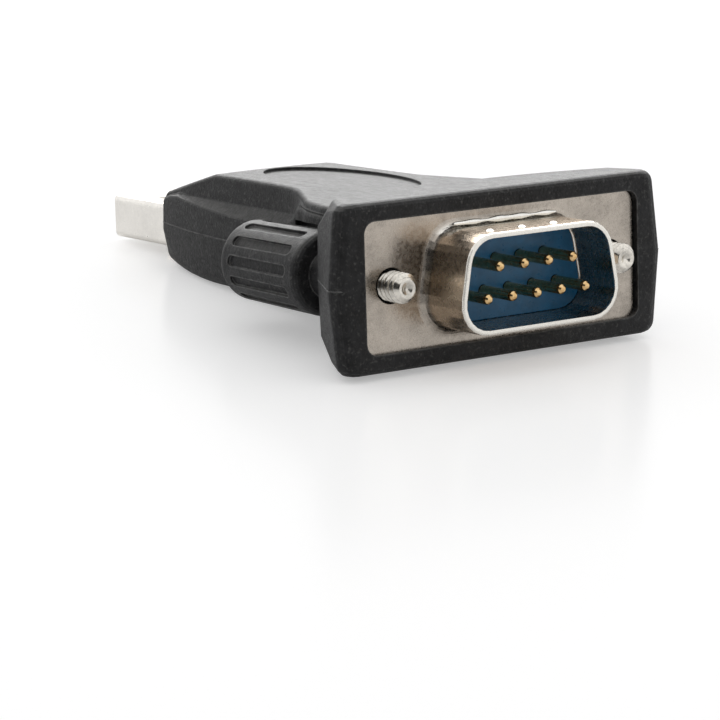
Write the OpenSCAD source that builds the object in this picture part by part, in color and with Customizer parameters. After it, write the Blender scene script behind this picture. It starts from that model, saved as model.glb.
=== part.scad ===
// USB to serial adapter: a nine pin male D-sub plug and a type A USB plug, moulded
// into one soft black hood, with a captive thumbscrew on each side.
// X runs from the D-sub plug to the USB plug, Y across, Z up. The origin is the middle
// of the D-sub flange's front face; pins, plug shell and screw ends stand in front of it.

/* [D-sub flange] */
// From the D's long side to the axis of a thumbscrew
screw_side = 4.05; // [3.8:0.05:5]
// From the axis of a thumbscrew to the end of the flange
flange_ear = 2.9; // [2.4:0.1:4]
// From the inside of the D to the flange's long edge
flange_band = 2.1; // [1.8:0.05:2.6]
// Thickness of each of the two sheets
sheet_t = 0.5; // [0.3:0.05:0.8]
// Corner radius of the flange
flange_r = 1.4; // [0.6:0.1:3]
// Bore of the two screw holes in the sheets
screw_hole_d = 3.3; // [3:0.05:3.5]

/* [D-sub plug shell] */
// From the last pin of the long row to the inside of the D
pin_side = 2.91; // [2.6:0.01:3.3]
// From a row of pins to the inside of the D
pin_rise = 2.73; // [2.5:0.01:3]
// Corner radius inside the D
d_in_r = 2.5; // [1.5:0.1:3]
// Slant of the D's short sides
d_slant = 10; // [6:1:14]
// Wall of the plug shell
d_wall = 0.45; // [0.3:0.05:0.7]
// Reach of the plug shell in front of the flange
d_reach = 5.9; // [5:0.1:7]
// Radius where the drawn shell leaves the flange
d_flare = 0.8; // [0.4:0.1:1.2]

/* [D-sub insulator and pins] */
// Pin diameter
pin_d = 1.0; // [0.8:0.05:1.2]
// Distance between pins of one row
pin_pitch = 2.77; // [2.6:0.01:2.9]
// Distance between the two rows
row_gap = 2.84; // [2.6:0.01:3]
// Reach of the pins in front of the flange
pin_reach = 5.5; // [4.2:0.1:5.8]
// Face of the front insulator, ahead of the flange
insulator_face = 0.7; // [0.4:0.1:1.5]
// How much wider the rear shell is than the D, on each side
rear_side = 1.05; // [0.8:0.05:1.3]
// How much higher the rear shell is than the D, above and below
rear_rise = 0.95; // [0.8:0.05:1.2]
// Depth of the rear shell behind the flange
rear_depth = 4.6; // [3.6:0.1:5.2]
// Depth of the rear insulator behind the flange
insulator_depth = 6.0; // [5.4:0.1:6.2]
// Diameter of the solder cups
cup_d = 1.5; // [1.3:0.05:1.6]
// Length of the solder cups
cup_len = 2.6; // [2:0.1:3]

/* [Hood, head end] */
// Gap beside each end of the flange
window_gap = 0.2; // [0.1:0.05:0.4]
// How far the frame covers the flange's long edges
frame_grip = 0.2; // [0.1:0.05:0.4]
// Width of the frame at each end of the window
frame_side = 2.5; // [1.8:0.1:3]
// Height of the frame above and below the window
frame_rim = 1.75; // [1.4:0.05:2.6]
// How far the side faces bulge at the parting line
head_bulge = 0.7; // [0.3:0.1:1.2]
// How far the head's frame stands in front of the flange
frame_lip = 0.55; // [0.3:0.05:1]
// Depth of the head's side faces
side_depth = 7.0; // [6:0.1:9]
// How far each side face leans in over its depth
head_taper = 2.2; // [1:0.1:2.8]
// Depth of the flat top in the middle
crown_depth = 6.3; // [5.5:0.1:7.5]
// How much shorter the flat top is at its ends
crown_sag = 2.5; // [1:0.1:4]
// Depth at which the slope behind the crown meets the body
slope_depth = 9.9; // [9:0.1:11]
// Edge rounding of the head
head_r = 0.65; // [0.3:0.05:0.9]
// Corner rounding of the head, seen from the front and from above
corner_r = 1.25; // [1:0.05:2]

/* [Hood, body] */
// Distance from the flange to the end of the nose
hood_len = 48.4; // [47:0.1:52]
// Height of the flat top above the plugs' axis
top_z = 6.45; // [5.8:0.05:7]
// How far the top falls towards the shoulders
top_fall = 0.35; // [0:0.05:0.8]
// Depth of the flat underside below the plugs' axis
bottom_z = 4.8; // [4.6:0.1:6]
// Share of the way from the shoulders to the end of the nose at which the top breaks
break_share = 0.58; // [0.56:0.01:0.63]
// Height of the nose's top edge
nose_z = 3.9; // [3.6:0.1:4.6]
// How far the shoulders stay inside the thumbscrews' axes
shoulder_in = 0.2; // [0:0.05:0.5]
// Half width of the flat top along the body
top_half = 7.1; // [6.8:0.1:7.6]
// Half width of the body's lower side wall
side_half = 8.4; // [8.2:0.1:9]
// Half width of the nose
nose_half = 7.4; // [7.2:0.1:8]
// Edge rounding of the nose
nose_r = 0.6; // [0.4:0.1:1.4]
// Gap between the head's slope and the oval panel on the top
oval_start = 4.6; // [4:0.1:8]
// Gap between the oval panel and the break of the top
oval_end = 0.8; // [0.5:0.1:4]
// Width of the oval panel
oval_w = 10.2; // [6:0.2:12]
// Depth of the oval panel
oval_depth = 0.35; // [0.15:0.05:0.5]
// Depth of the pocket beside a knob, into the flank
pocket_in = 0.6; // [0.2:0.05:0.8]
// Length of a knob behind the pocket
pocket_short = 2.1; // [1:0.1:4]

/* [Thumbscrews] */
// Thread diameter
screw_d = 2.84; // [2.82:0.01:2.9]
// Diameter of the plain shank behind the thread
shank_d = 2.4; // [2.1:0.01:2.5]
// Clearance around the shank in the hood's bore
shank_fit = 0.08; // [0.04:0.01:0.1]
// How far the threaded end stands in front of the flange
screw_reach = 2.6; // [1.5:0.1:5]
// Gap between the thread's rear end and the flange
thread_gap = 0.3; // [0.2:0.05:0.5]
// Cone at the threaded end
screw_chamfer = 0.5; // [0.2:0.05:0.8]
// Outer diameter of the moulded knob
knob_d = 8.0; // [7:0.1:8.2]
// Length of the knob
knob_len = 13.6; // [11:0.1:14]
// Distance from the flange to the knob's front
knob_front = 9.8; // [9:0.1:10.4]
// Number of grip grooves around the knob
groove_count = 12; // [6:1:14]
// Width of a grip groove
groove_w = 1.05; // [0.6:0.05:1.6]
// Depth of a grip groove
groove_depth = 0.45; // [0.2:0.05:0.6]
// Length of a grip groove
groove_len = 10.1; // [6:0.1:10.4]
// Rounding of the knob's rear edge
knob_rear_r = 1.2; // [0.4:0.1:1.5]
// Diameter of the knob's neck
neck_d = 4.6; // [4:0.1:6]
// Length of the knob's neck
neck_len = 2.4; // [1.5:0.1:3]
// Gap between the knob and the hood around it
knob_gap = 0.3; // [0.2:0.05:0.6]
// Wall between the rear shell and the notch around a knob's neck
notch_wall = 0.5; // [0.3:0.05:0.8]
// Room around the neck in that notch
notch_room = 1.0; // [0.3:0.05:1.2]
// Rounding of the corner between the head and a shoulder
notch_r = 0.6; // [0.4:0.1:2]

/* [USB plug] */
// Width of the steel shell
usb_w = 12.0; // [11.8:0.1:12.2]
// Height of the steel shell
usb_h = 4.5; // [4.4:0.1:4.7]
// Wall of the steel shell
usb_wall = 0.3; // [0.2:0.05:0.4]
// Corner radius outside the shell
usb_r = 0.6; // [0.4:0.1:1]
// Length of the shell that stands out of the nose
usb_reach = 12.2; // [11:0.1:14]
// Length of the shell inside the nose
usb_buried = 6.4; // [5:0.1:7]
// Side of the square windows in the shell
window_side = 2.2; // [1.6:0.1:2.6]
// Distance of the square windows from the open end
window_back = 6.6; // [5:0.1:8]
// Distance between the two windows of a face
window_pitch = 5.7; // [5:0.1:6.4]
// Height of the free space below the tongue
mouth_gap = 1.7; // [1.5:0.05:2]
// How far the tongue stays behind the open end
tongue_back = 0.6; // [0.3:0.1:1]
// Width of a contact
contact_w = 1.0; // [0.8:0.05:1.2]
// Thickness of a contact
contact_t = 0.25; // [0.15:0.05:0.3]

/* [Circuit board] */
// Gap between parts that follow each other along the board
part_gap = 0.9; // [0.6:0.1:1.4]
// Width of the board
board_w = 13.4; // [12.4:0.1:13.6]
// Thickness of the board
board_t = 1.2; // [0.8:0.1:1.25]
// Distance from the flange to the board's front edge
board_front = 6.3; // [6.25:0.05:6.8]
// Length of a chip's body
chip_len = 10.2; // [9:0.1:10.6]
// Width of a chip's body
chip_w = 5.3; // [4.4:0.1:5.6]
// Height of a chip's body
chip_h = 1.7; // [1.2:0.1:2]
// Pitch of the chips' leads
lead_pitch = 0.65; // [0.5:0.05:0.7]
// Leads along each side of a chip
lead_count = 14; // [10:1:14]
// Reach of the leads beside a chip's body
lead_reach = 1.2; // [0.8:0.1:1.3]
// Height of the crystal can
crystal_h = 3.5; // [2.5:0.1:3.6]
// Length of the crystal can over its base rim
crystal_len = 10.6; // [9.6:0.1:11]
// Width of the crystal can over its base rim
crystal_wide = 4.4; // [4:0.1:4.8]
// Width of the crystal can's base rim
crystal_rim = 0.4; // [0.2:0.05:0.5]
// Length of a capacitor
cap_len = 2.0; // [1.6:0.1:2.2]
// Width of a capacitor
cap_w = 1.3; // [1:0.05:1.4]
// Height of a capacitor
cap_h = 1.0; // [0.7:0.05:1.2]
// Length of a resistor
res_len = 1.6; // [1.4:0.1:2]
// Width of a resistor
res_w = 0.8; // [0.7:0.05:1]
// Height of a resistor
res_h = 0.45; // [0.3:0.05:0.6]
// Gap between the moulding and what it encloses
cast_gap = 0.04; // [0.02:0.01:0.1]

/* [Hidden] */

eps = 0.01;
d_in_w = 4 * pin_pitch + 2 * pin_side;
d_in_h = row_gap + 2 * pin_rise;
screw_y = d_in_w / 2 + screw_side;
flange_w = 2 * (screw_y + flange_ear);
flange_h = d_in_h + 2 * flange_band;
window_w = flange_w + 2 * window_gap;
window_h = flange_h - 2 * frame_grip;
head_edge_w = window_w + 2 * frame_side;
head_w = head_edge_w + 2 * head_bulge;
head_rear_w = head_edge_w - 2 * head_taper;
head_h = window_h + 2 * frame_rim;
shoulder_half = screw_y - shoulder_in;
rear_w = d_in_w + 2 * rear_side;
rear_h = d_in_h + 2 * rear_rise;
d_out_w = d_in_w + 2 * d_wall;
d_out_h = d_in_h + 2 * d_wall;
d_out_r = d_in_r + d_wall;
flange_back = 2 * sheet_t;
usb_tip = hood_len + usb_reach;
usb_root = hood_len - usb_buried;
usb_in_h = usb_h - 2 * usb_wall;
tongue_face = -usb_in_h / 2 + mouth_gap;
board_rear = usb_root - 0.2;
tail_len = 2.6;
knob_rear = knob_front + knob_len;
slot_half = knob_d / 2 + knob_gap;
shoulder_end = 25;
break_x = shoulder_end + break_share * (hood_len - shoulder_end);

// Places of the parts on the board: [distance from the flange, across]
cup_end = insulator_depth + cup_len;
crystal_x = cup_end + part_gap + crystal_wide / 2;
bridge_x = crystal_x + crystal_wide / 2 + part_gap + chip_len / 2;
low_x = cup_end + 2 * part_gap + cap_len / 2;
line_x = low_x + cap_len / 2 + part_gap + chip_len / 2;
behind_x = line_x + chip_len / 2 + part_gap + cap_len / 2;
top_x = board_rear - 4;
crystal_at = [crystal_x, 0];
bridge_at = [bridge_x, 0];
line_at = [line_x, 0];
capacitors_top = [[top_x, 4.2], [top_x, -4.2]];
capacitors_low = [[low_x, 3.6], [low_x, -3.6], [behind_x, 0]];
resistors_top = [[top_x, 1.2], [top_x, -1.2]];

// Points along an arc
function arc(c, r, a0, a1, n) =
  [for (i = [0 : n]) let (a = a0 + (a1 - a0) * i / n) [c[0] + r * cos(a), c[1] + r * sin(a)]];

// The D, long side down, with equal corner radii and slanted short sides
function d_outline(w, h, r, n = 6) =
  let (lean = (h - 2 * r) * tan(d_slant))
  concat(
    arc([w / 2 - r, -h / 2 + r], r, -90, d_slant, n),
    arc([w / 2 - r - lean, h / 2 - r], r, d_slant, 90, n),
    arc([-w / 2 + r + lean, h / 2 - r], r, 90, 180 - d_slant, n),
    arc([-w / 2 + r, -h / 2 + r], r, 180 - d_slant, 270, n)
  );

// The D grown by e on every side
function d_grown(w, h, r, e) = d_outline(w + 2 * e, h + 2 * e, r + e);

// A rounded rectangle
function box_outline(w, h, r, n = 5) =
  concat(
    arc([w / 2 - r, -h / 2 + r], r, -90, 0, n),
    arc([w / 2 - r, h / 2 - r], r, 0, 90, n),
    arc([-w / 2 + r, h / 2 - r], r, 90, 180, n),
    arc([-w / 2 + r, -h / 2 + r], r, 180, 270, n)
  );

// A value that runs smoothly through the pairs [x, value] of a table
function grade(t, i) =
  i == 0 ? (t[1][1] - t[0][1]) / (t[1][0] - t[0][0])
  : i == len(t) - 1 ? (t[i][1] - t[i - 1][1]) / (t[i][0] - t[i - 1][0])
  : (t[i + 1][1] - t[i - 1][1]) / (t[i + 1][0] - t[i - 1][0]);
function span(t, x, i = 0) = (i >= len(t) - 2 || x < t[i + 1][0]) ? i : span(t, x, i + 1);
function along(t, x) =
  let (
    i = span(t, x),
    d = t[i + 1][0] - t[i][0],
    s = max(0, min(1, (x - t[i][0]) / d))
  )
  (2 * s * s * s - 3 * s * s + 1) * t[i][1]
  + (s * s * s - 2 * s * s + s) * d * grade(t, i)
  + (3 * s * s - 2 * s * s * s) * t[i + 1][1]
  + (s * s * s - s * s) * d * grade(t, i + 1);

// Skin over sections that all have the same number of points
module loft(sections) {
  n = len(sections[0]);
  m = len(sections);
  polyhedron(
    points = [for (s = sections) for (p = s) p],
    faces = concat(
      [[for (i = [0 : n - 1]) i]],
      [for (j = [0 : m - 2]) for (i = [0 : n - 1])
        [j * n + i, (j + 1) * n + (i + 1) % n, j * n + (i + 1) % n]],
      [for (j = [0 : m - 2]) for (i = [0 : n - 1])
        [j * n + i, (j + 1) * n + i, (j + 1) * n + (i + 1) % n]],
      [[for (i = [n - 1 : -1 : 0]) (m - 1) * n + i]]
    )
  );
}

// A flat outline in Y and Z, drawn from x0 to x1
module slab(x0, x1) {
  translate([x0, 0, 0]) rotate([90, 0, 90]) linear_extrude(height = x1 - x0) children();
}

// A round bar along X
module rod(x0, x1, d) {
  translate([x0, 0, 0]) rotate([0, 90, 0]) cylinder(d = d, h = x1 - x0, $fn = 48);
}

// Both sides of the adapter
module both_sides() {
  children();
  mirror([0, 1, 0]) children();
}

// D-sub connector

// Skin of the drawn D: the flare at the flange, the straight wall, a slightly eased rim
module drawn_d(w, h, r, reach, flare, ease) {
  profile = concat(
    [[sheet_t, flare]],
    [for (a = [0 : 18 : 90]) [-flare * (1 - cos(a)), flare * (1 - sin(a))]],
    [[-reach + ease, 0], [-reach + ease * 0.3, -ease * 0.3], [-reach, -ease]]
  );
  loft([for (i = [len(profile) - 1 : -1 : 0])
    [for (p = d_grown(w, h, r, profile[i][1])) [profile[i][0], p[0], p[1]]]]);
}

// Front sheet: flange, two screw holes and the drawn D that guards the pins
module plug_shell() {
  color("silver") difference() {
    union() {
      slab(0, sheet_t) polygon(box_outline(flange_w, flange_h, flange_r));
      drawn_d(d_out_w, d_out_h, d_out_r, d_reach, d_flare, d_wall * 0.4);
    }
    slab(-d_reach - 1, sheet_t + 1) polygon(d_outline(d_in_w, d_in_h, d_in_r));
    for (s = [-1, 1]) translate([0, s * screw_y, 0]) rod(-1, sheet_t + 1, screw_hole_d);
  }
}

// Rear sheet: second flange with a drawn D that holds the rear insulator
module rear_shell() {
  color("silver") difference() {
    union() {
      slab(sheet_t, flange_back) polygon(box_outline(flange_w, flange_h, flange_r));
      slab(sheet_t, rear_depth) polygon(d_outline(rear_w, rear_h, d_out_r + 0.4));
    }
    slab(sheet_t - 1, rear_depth + 1)
      polygon(d_outline(rear_w - 2 * d_wall, rear_h - 2 * d_wall, d_out_r));
    for (s = [-1, 1]) translate([0, s * screw_y, 0]) rod(-1, flange_back + 1, screw_hole_d);
  }
}

// Pin places, seen from the front: five below, four above
function pin_y(i) = i <= 5 ? (3 - i) * pin_pitch : (7.5 - i) * pin_pitch;
function pin_z(i) = i <= 5 ? -row_gap / 2 : row_gap / 2;

module pin_bores(x0, x1, d) {
  for (i = [1 : 9]) translate([0, pin_y(i), pin_z(i)]) rod(x0, x1, d);
}

// Front insulator: a blue block on the floor of the plug shell
module insulator_front() {
  color("midnightblue") difference() {
    slab(-insulator_face, sheet_t)
      polygon(d_grown(d_in_w, d_in_h, d_in_r, -cast_gap));
    pin_bores(-insulator_face - 1, sheet_t + 1, pin_d + 2 * cast_gap);
  }
}

// Rear insulator: fills the rear shell and carries the pins' collars
module insulator_rear() {
  color("midnightblue") difference() {
    slab(sheet_t, insulator_depth)
      polygon(d_grown(rear_w - 2 * d_wall, rear_h - 2 * d_wall, d_out_r, -cast_gap));
    pin_bores(sheet_t - 1, insulator_depth + 1, pin_d + 2 * cast_gap);
    pin_bores(sheet_t + 1.5, insulator_depth + 1, cup_d + 2 * cast_gap);
  }
}

// One turned pin: rounded nose, slim shank, thicker rear part, solder cup
module pin(i) {
  r = pin_d / 2;
  cup_r = cup_d / 2;
  rear = insulator_depth + cup_len;
  outline = concat(
    [[0, -pin_reach]],
    [for (a = [30 : 30 : 90]) [r * sin(a), -pin_reach + r * (1 - cos(a))]],
    [[r, sheet_t + 1.6], [cup_r, sheet_t + 1.6 + cup_r - r], [cup_r, rear], [0, rear]]
  );
  color("gold") translate([0, pin_y(i), pin_z(i)]) difference() {
    rotate([0, 90, 0]) rotate_extrude($fn = 32) polygon(outline);
    rod(rear - cup_len + 0.6, rear + 1, pin_d);
    translate([rear - cup_len + 1, -cup_r, pin_z(i) > 0 ? 0.2 : -cup_r - 1])
      cube([cup_len, cup_d, cup_r + 0.8]);
  }
}

// Thumbscrews

// Steel screw: threaded end with a cone, held in the knob by its shank
module screw(side) {
  r = screw_d / 2;
  rear = knob_rear - 4;
  color("lightgray") translate([0, side * screw_y, 0]) rotate([0, 90, 0])
    rotate_extrude($fn = 48) polygon([
      [0, -screw_reach], [r - screw_chamfer, -screw_reach],
      [r, -screw_reach + screw_chamfer], [r, -thread_gap], [shank_d / 2, -thread_gap],
      [shank_d / 2, rear], [0, rear]
    ]);
}

// Groove with round ends, cut into the knob's side
module grip_groove() {
  x0 = knob_front + 1.6;
  depth_at = knob_d / 2 - groove_depth;
  translate([0, 0, depth_at]) linear_extrude(height = 2) union() {
    translate([x0 + groove_w / 2, -groove_w / 2])
      square([groove_len - groove_w, groove_w]);
    translate([x0 + groove_w / 2, 0]) circle(d = groove_w, $fn = 20);
    translate([x0 + groove_len - groove_w / 2, 0]) circle(d = groove_w, $fn = 20);
  }
}

// Moulded knob: neck, slightly tapered grip with grooves, rounded rear edge
module knob(side) {
  r = knob_d / 2;
  rear_r = r - 0.15;
  outline = concat(
    [[shank_d / 2 + cast_gap, knob_front - neck_len], [neck_d / 2 - 0.3, knob_front - neck_len],
     [neck_d / 2, knob_front - neck_len + 0.3], [neck_d / 2, knob_front], [r - 0.7, knob_front]],
    [for (a = [22.5 : 22.5 : 90]) [r - 0.7 + 0.7 * sin(a), knob_front + 0.7 * (1 - cos(a))]],
    [for (a = [0 : 15 : 90]) [rear_r - knob_rear_r * (1 - cos(a)),
      knob_rear - knob_rear_r * (1 - sin(a))]],
    [[0, knob_rear], [0, knob_rear - 4 + cast_gap],
     [shank_d / 2 + cast_gap, knob_rear - 4 + cast_gap]]
  );
  color("#2b2b2c") translate([0, side * screw_y, 0]) difference() {
    rotate([0, 90, 0]) rotate_extrude($fn = 64) polygon(outline);
    for (i = [0 : groove_count - 1]) rotate([i * 360 / groove_count + 7, 0, 0]) grip_groove();
  }
}

// Circuit board and what sits on it

module board() {
  color("darkgreen") translate([board_front, -board_w / 2, -board_t / 2])
    cube([board_rear - board_front, board_w, board_t]);
}

// Chip with gull wing leads, standing on z = 0
module chip() {
  foot = 0.7;
  reach = chip_w / 2 + lead_reach;
  translate([-chip_len / 2, -chip_w / 2, 0.1]) cube([chip_len, chip_w, chip_h - 0.1]);
  for (side = [0, 1]) mirror([0, side, 0]) for (i = [0 : lead_count - 1])
    translate([(i - (lead_count - 1) / 2) * lead_pitch - 0.15, 0, 0])
      rotate([90, 0, 90]) linear_extrude(height = 0.3) polygon([
        [chip_w / 2 - 0.1, 0.95], [reach - foot - 0.05, 0.95], [reach - foot + 0.1, 0.2],
        [reach, 0.2], [reach, 0], [reach - foot - 0.1, 0], [reach - foot - 0.25, 0.75],
        [chip_w / 2 - 0.1, 0.75]
      ]);
}

module bridge_chip() {
  color("#1d1d20") translate([bridge_at[0], bridge_at[1], board_t / 2]) chip();
}

module line_chip() {
  color("#1d1d20") translate([line_at[0], line_at[1], -board_t / 2]) rotate([180, 0, 0]) chip();
}

// Low crystal can with a rounded plan and a base rim
module crystal() {
  can_w = crystal_wide - 2 * crystal_rim;
  color("silver") translate([crystal_at[0], crystal_at[1], board_t / 2]) {
    translate([0, 0, crystal_rim]) linear_extrude(height = crystal_h - crystal_rim)
      polygon(box_outline(can_w, crystal_len - 2 * crystal_rim, can_w / 2 - 0.05));
    linear_extrude(height = crystal_rim)
      polygon(box_outline(crystal_wide, crystal_len, crystal_wide / 2 - 0.05));
  }
}

// A block centred on its place, on the board's top or under it, grown by e on every side
module chip_part(place, size, up, e = 0) {
  low = up ? board_t / 2 : -board_t / 2 - size[2];
  translate([place[0] - size[0] / 2 - e, place[1] - size[1] / 2 - e, low - e])
    cube([size[0] + 2 * e, size[1] + 2 * e, size[2] + 2 * e]);
}

module capacitor(place, up) {
  color("tan") chip_part(place, [cap_len, cap_w, cap_h], up);
}

module resistor(place) {
  color("black") chip_part(place, [res_len, res_w, res_h], true);
}

// USB plug

// Folded steel shell with four latch windows and a dimple on each side
module usb_shell() {
  window_x = usb_tip - window_back;
  color("silver") difference() {
    slab(usb_root, usb_tip) polygon(box_outline(usb_w, usb_h, usb_r));
    slab(usb_root - 1, usb_tip + 1)
      polygon(box_outline(usb_w - 2 * usb_wall, usb_in_h, usb_r - usb_wall));
    for (s = [-1, 1]) translate([window_x - window_side / 2,
        s * window_pitch / 2 - window_side / 2, -usb_h / 2 - 1])
      cube([window_side, window_side, usb_h + 2]);
    for (s = [-1, 1]) translate([hood_len + 1.3, s * (usb_w / 2 + 0.15), 0]) sphere(d = 1.1, $fn = 24);
  }
}

// White tongue with a full height block at its root
module usb_tongue() {
  inner_w = usb_w - 2 * usb_wall - 2 * cast_gap;
  color("white") difference() {
    union() {
      translate([usb_root + 0.3, -inner_w / 2 + 0.2, tongue_face])
        cube([usb_tip - tongue_back - usb_root - 0.3, inner_w - 0.4, usb_in_h / 2 - tongue_face - cast_gap]);
      translate([usb_root + 0.3, -inner_w / 2, -usb_in_h / 2 + cast_gap])
        cube([usb_buried - 1.2, inner_w, usb_in_h - 2 * cast_gap]);
    }
    for (i = [1 : 4]) contact_path(i, cast_gap);
  }
}

// A contact: flat blade under the tongue, a step down, a tail on the board's underside
module contact_path(i, grow = 0) {
  y = [-3.5, -1, 1, 3.5][i - 1];
  blade_end = usb_tip - (i == 1 || i == 4 ? 1.6 : 2.8);
  blade_top = tongue_face + 0.1;
  tail_top = -board_t / 2;
  translate([0, y + contact_w / 2 + grow, 0]) rotate([90, 0, 0])
    linear_extrude(height = contact_w + 2 * grow) polygon([
      [blade_end + grow, blade_top + grow], [usb_root + 1.6, blade_top + grow],
      [usb_root + 0.9, tail_top + grow], [board_rear - tail_len - grow, tail_top + grow],
      [board_rear - tail_len - grow, tail_top - contact_t - grow],
      [usb_root + 1.0, tail_top - contact_t - grow],
      [usb_root + 1.7, blade_top - contact_t - grow], [blade_end + grow, blade_top - contact_t - grow]
    ]);
}

module usb_contact(i) {
  color("goldenrod") contact_path(i);
}

// Hood

// Places along the shoulders and along the tail behind them, as shares of each
function waist(s) = 6 + s * (shoulder_end - 6);
function tail(s) = shoulder_end + s * (hood_len - shoulder_end);

// Tables of the body's section: [distance from the flange, value]
top_table = [[6, top_z], [break_x - 1, top_z], [break_x, top_z - 0.05],
  [break_x + 1, top_z - 0.3], [hood_len - 0.5, nose_z], [hood_len, nose_z - 0.12]];
fall_table = [[6, top_fall], [waist(0.5), top_fall * 0.8], [waist(0.8), top_fall * 0.4],
  [tail(0.05), top_fall * 0.2], [hood_len, 0.05]];
top_half_table = [[6, shoulder_half], [waist(0.32), shoulder_half - 0.4],
  [waist(0.5), shoulder_half - 1.2], [waist(0.68), top_half + 2.3], [waist(0.82), top_half + 1.0],
  [waist(0.95), top_half + 0.3], [tail(0.3), top_half], [break_x, top_half],
  [tail(0.81), top_half + 0.1], [hood_len, nose_half - 0.3]];
inner_half_table = [[6, shoulder_half + 0.02], [waist(0.32), shoulder_half - 0.38],
  [waist(0.5), shoulder_half - 1.18], [waist(0.68), top_half + 2.45], [waist(0.78), top_half + 1.5],
  [waist(0.88), top_half + 0.8], [tail(0.04), top_half + 0.4], [tail(0.3), top_half + 0.25],
  [tail(0.55), top_half + 0.25], [tail(0.81), top_half + 0.25], [hood_len, nose_half - 0.2]];
inner_z_table = [[6, top_z - 1.1], [waist(0.66), top_z - 1.0], [waist(0.72), top_z - 1.2],
  [waist(0.78), top_z - 1.7], [waist(0.88), nose_z], [waist(0.96), nose_z - 0.1],
  [tail(0.2), nose_z - 0.1], [tail(0.47), nose_z - 0.1], [tail(0.73), nose_z],
  [tail(0.9), nose_z - 0.05], [hood_len, nose_z - 0.5]];
outer_half_table = [[6, shoulder_half + 0.1], [waist(0.32), shoulder_half - 0.3],
  [waist(0.5), shoulder_half - 1.05], [waist(0.62), side_half + 1.75], [waist(0.7), side_half + 1.3], [waist(0.8), side_half + 0.3],
  [waist(0.9), side_half], [tail(0.13), side_half], [tail(0.38), side_half],
  [tail(0.64), side_half - 0.2], [tail(0.81), side_half - 0.5], [hood_len, nose_half]];
outer_z_table = [[6, top_z - 1.4], [waist(0.64), top_z - 1.35], [waist(0.7), top_z - 1.6],
  [waist(0.77), top_z - 1.8], [waist(0.84), nose_z - 0.3], [waist(0.92), nose_z - 0.95],
  [tail(0.04), nose_z - 1.2], [tail(0.3), nose_z - 1.3], [tail(0.51), nose_z - 1.0],
  [tail(0.73), nose_z - 0.6], [tail(0.9), nose_z - 0.2], [hood_len, nose_z - 0.7]];
flank_table = [[6, 0.15], [waist(0.7), -0.3], [waist(0.86), -0.3], [waist(0.94), -0.2],
  [tail(0.12), 0.15], [hood_len, 0.15]];
bottom_table = [[6, -bottom_z - 2.5], [waist(0.34), -bottom_z - 1.2], [waist(0.68), -bottom_z - 0.2],
  [waist(0.95), -bottom_z], [tail(0.51), -bottom_z + 0.1], [tail(0.73), -bottom_z + 0.35],
  [tail(0.9), -bottom_z + 0.9], [hood_len, -bottom_z + 1.4]];
bottom_half_table = [[6, shoulder_half], [waist(0.32), shoulder_half - 1.2],
  [waist(0.53), shoulder_half - 2.6], [waist(0.74), side_half + 0.2], [tail(0.04), side_half - 0.05],
  [tail(0.56), side_half - 0.1], [tail(0.81), side_half - 0.6], [hood_len, nose_half - 0.3]];

// Half of the body's section, from the middle of the underside up to the middle of the top
function half_section(x, e) =
  let (
    zm = along(top_table, x) - e,
    zt = zm - along(fall_table, x),
    zb = along(bottom_table, x) + e,
    rt = 0.55,
    rb = 1.3,
    yt = along(top_half_table, x) - e,
    yi = along(inner_half_table, x) - e,
    yo = along(outer_half_table, x) - e,
    yb = along(bottom_half_table, x) - e,
    zi = min(along(inner_z_table, x), zt - rt),
    zo = min(along(outer_z_table, x), zi - 0.2)
  )
  concat(
    arc([yb - rb, zb + rb], rb, -90, 0, 5),
    [[yo + along(flank_table, x), 0], [yo + 0.03, zo - 0.3], [yo - 0.03, zo - 0.08], [yo - 0.12, zo + 0.06]],
    [[yi + 0.06, zi - 0.08], [yi, zi + 0.02]],
    arc([yt - rt, zt - rt], rt, 0, 80, 5),
    [[yt * 0.55, zm - (zm - zt) * 0.3], [1, zm]]
  );

function body_section(x, e) =
  let (h = half_section(x, e), n = len(h))
  concat([for (p = h) [x, p[0], p[1]]], [for (i = [n - 1 : -1 : 0]) [x, -h[i][0], h[i][1]]]);

body_stops = concat(
  [for (s = [0, 0.11, 0.22, 0.32, 0.42, 0.5, 0.56, 0.61, 0.65]) waist(s)],
  [for (s = [0.68 : 0.04 : 0.96]) waist(s)],
  [for (s = [0, 0.06, 0.13, 0.21, 0.3, 0.38, 0.46, 0.53]) tail(s)],
  [break_x, break_x + 0.8],
  [for (s = [0.69, 0.77, 0.85, 0.92]) tail(s)]
);

module body_form() {
  loft(concat(
    [for (x = body_stops) body_section(x, 0)],
    [for (a = [0 : 22.5 : 90]) body_section(hood_len - nose_r * (1 - sin(a)), nose_r * (1 - cos(a)))]
  ));
}

// Depth of the head's flat top at a distance from the middle
crown_span = head_edge_w / 2 - head_taper / 2 - head_r;
function crown(y) = crown_depth - crown_sag * pow(abs(y) / crown_span, 2.4);

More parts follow.
